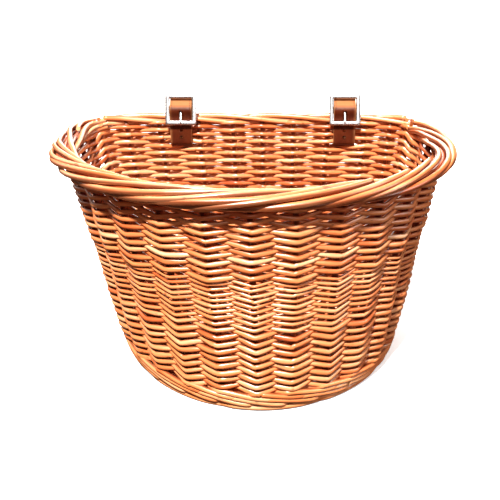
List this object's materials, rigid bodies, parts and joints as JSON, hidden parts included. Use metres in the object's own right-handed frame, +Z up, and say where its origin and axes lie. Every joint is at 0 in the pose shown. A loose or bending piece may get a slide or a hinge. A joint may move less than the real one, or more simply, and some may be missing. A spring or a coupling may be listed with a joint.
{
  "type": "handlebar basket",
  "caption": "D-shaped woven willow basket with a rolled rim and two leather buckle straps that loop round a handlebar.",
  "frame": {"origin": "on the floor, under the middle of the whole object's box", "axes": "+Z up; +Y towards the handlebar; the curved front faces -Y; +X to the right seen from the front"},
  "size_m": [0.3579, 0.2854, 0.2254],
  "materials": {
    "willow": "satin",
    "stakes": "satin",
    "leather": "satin",
    "thread": "matte",
    "nickel": "polished"
  },
  "bodies": {
    "basket": {"foot_border": "willow", "base_weave": "willow", "bottom_wale": "willow", "lower_weave": "willow", "upper_weave": "willow", "left_border_rods": "willow", "front_border_rods": "willow", "right_border_rods": "willow", "back_border_rods": "willow", "base_sticks": "stakes", "front_stakes": "stakes", "left_stakes": "stakes", "right_stakes": "stakes", "back_stakes": "stakes", "left_corner_post": "stakes", "right_corner_post": "stakes"},
    "left_strap": {"left_strap": "leather", "left_thread": "thread"},
    "left_buckle": {"left_buckle": "nickel"},
    "left_prong": {"left_prong": "nickel"},
    "right_strap": {"right_strap": "leather", "right_thread": "thread"},
    "right_buckle": {"right_buckle": "nickel"},
    "right_prong": {"right_prong": "nickel"}
  },
  "joints": [
    {"name": "left_strap_slide", "type": "slide", "parent": "basket", "child": "left_strap", "axis": [1, 0, 0], "range_m": [-0.002, 0.002]},
    {"name": "left_buckle_rock", "type": "hinge", "parent": "left_strap", "child": "left_buckle", "pos_m": [-0.07, 0.10264, 0.21028], "axis": [1, 0, 0], "range_deg": [-3, 2.5]},
    {"name": "left_prong_lift", "type": "hinge", "parent": "left_buckle", "child": "left_prong", "pos_m": [-0.07, 0.10264, 0.21028], "axis": [-1, 0, 0], "range_deg": [0, 25]},
    {"name": "right_strap_slide", "type": "slide", "parent": "basket", "child": "right_strap", "axis": [1, 0, 0], "range_m": [-0.002, 0.002]},
    {"name": "right_buckle_rock", "type": "hinge", "parent": "right_strap", "child": "right_buckle", "pos_m": [0.089, 0.10264, 0.21028], "axis": [1, 0, 0], "range_deg": [-3, 2.5]},
    {"name": "right_prong_lift", "type": "hinge", "parent": "right_buckle", "child": "right_prong", "pos_m": [0.089, 0.10264, 0.21028], "axis": [-1, 0, 0], "range_deg": [0, 25]}
  ]
}
